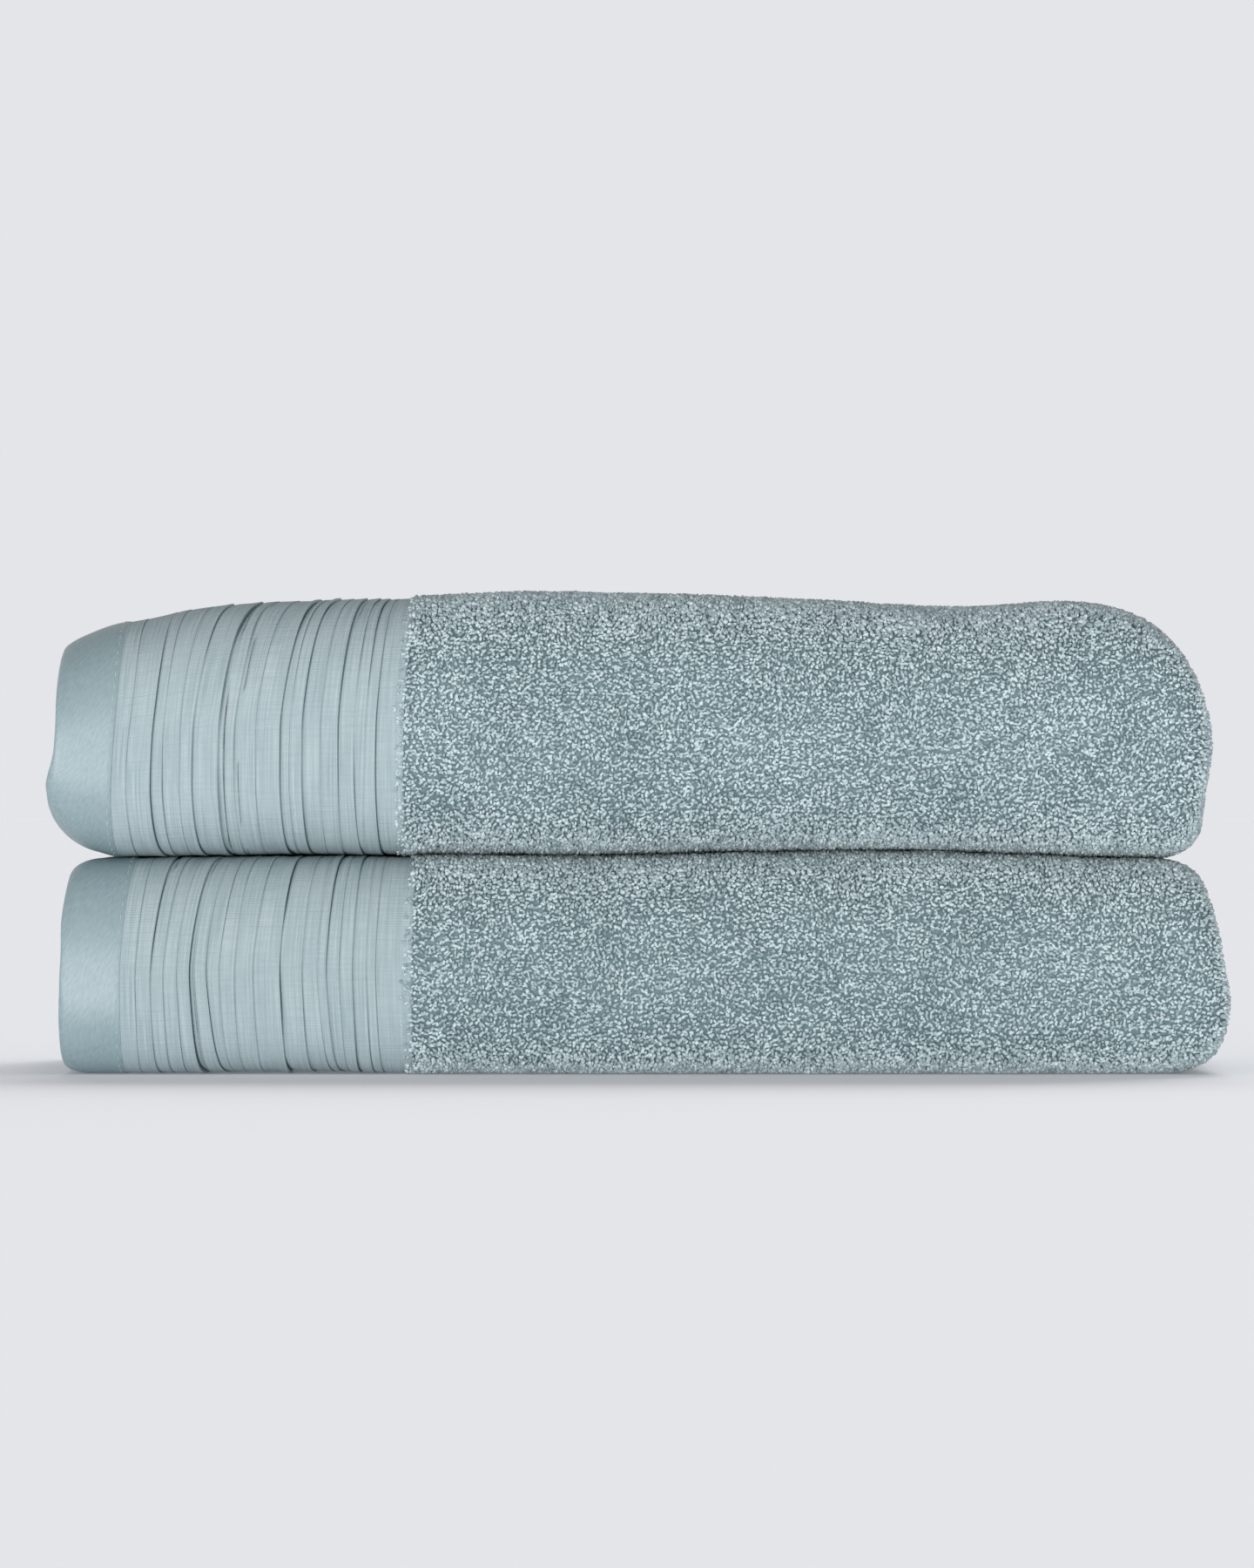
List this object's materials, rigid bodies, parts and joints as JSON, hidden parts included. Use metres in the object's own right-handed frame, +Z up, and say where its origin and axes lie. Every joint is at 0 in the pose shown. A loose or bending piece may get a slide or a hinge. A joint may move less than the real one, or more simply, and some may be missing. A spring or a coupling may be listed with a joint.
{
  "type": "bath towel set",
  "caption": "Folded terry bath towels stacked flat, each with a pleated border and a satin hem at its ends.",
  "frame": {"origin": "middle of the set's footprint, on the surface that it lies on", "axes": "+X runs along the folded length from the hems to the closed folds, +Z is up through the stack, and the big rounded front fold faces -Y"},
  "size_m": [0.3585, 0.2514, 0.1487],
  "materials": {
    "terry": "matt looped cotton pile",
    "pleated_border": "matt plain weave, pleated",
    "satin_hem": "soft satin sheen",
    "thread": "matt sewing thread"
  },
  "bodies": {
    "lower_towel": {"lower_back_side_stitching": "thread", "lower_front_side_stitching": "thread", "lower_inner_border_stitching": "thread", "lower_inner_end_hem": "satin_hem", "lower_inner_hem_stitching": "thread", "lower_inner_pleated_border": "pleated_border", "lower_outer_border_stitching": "thread", "lower_outer_end_hem": "satin_hem", "lower_outer_hem_stitching": "thread", "lower_outer_pleated_border": "pleated_border", "lower_terry_cloth": "terry"},
    "upper_towel": {"upper_back_side_stitching": "thread", "upper_front_side_stitching": "thread", "upper_inner_border_stitching": "thread", "upper_inner_end_hem": "satin_hem", "upper_inner_hem_stitching": "thread", "upper_inner_pleated_border": "pleated_border", "upper_outer_border_stitching": "thread", "upper_outer_end_hem": "satin_hem", "upper_outer_hem_stitching": "thread", "upper_outer_pleated_border": "pleated_border", "upper_terry_cloth": "terry"}
  },
  "joints": [
    {"name": "upper_towel_lift", "type": "slide", "parent": "lower_towel", "child": "upper_towel", "axis": [0, 0, 1], "range_m": [0, 0.2]}
  ]
}
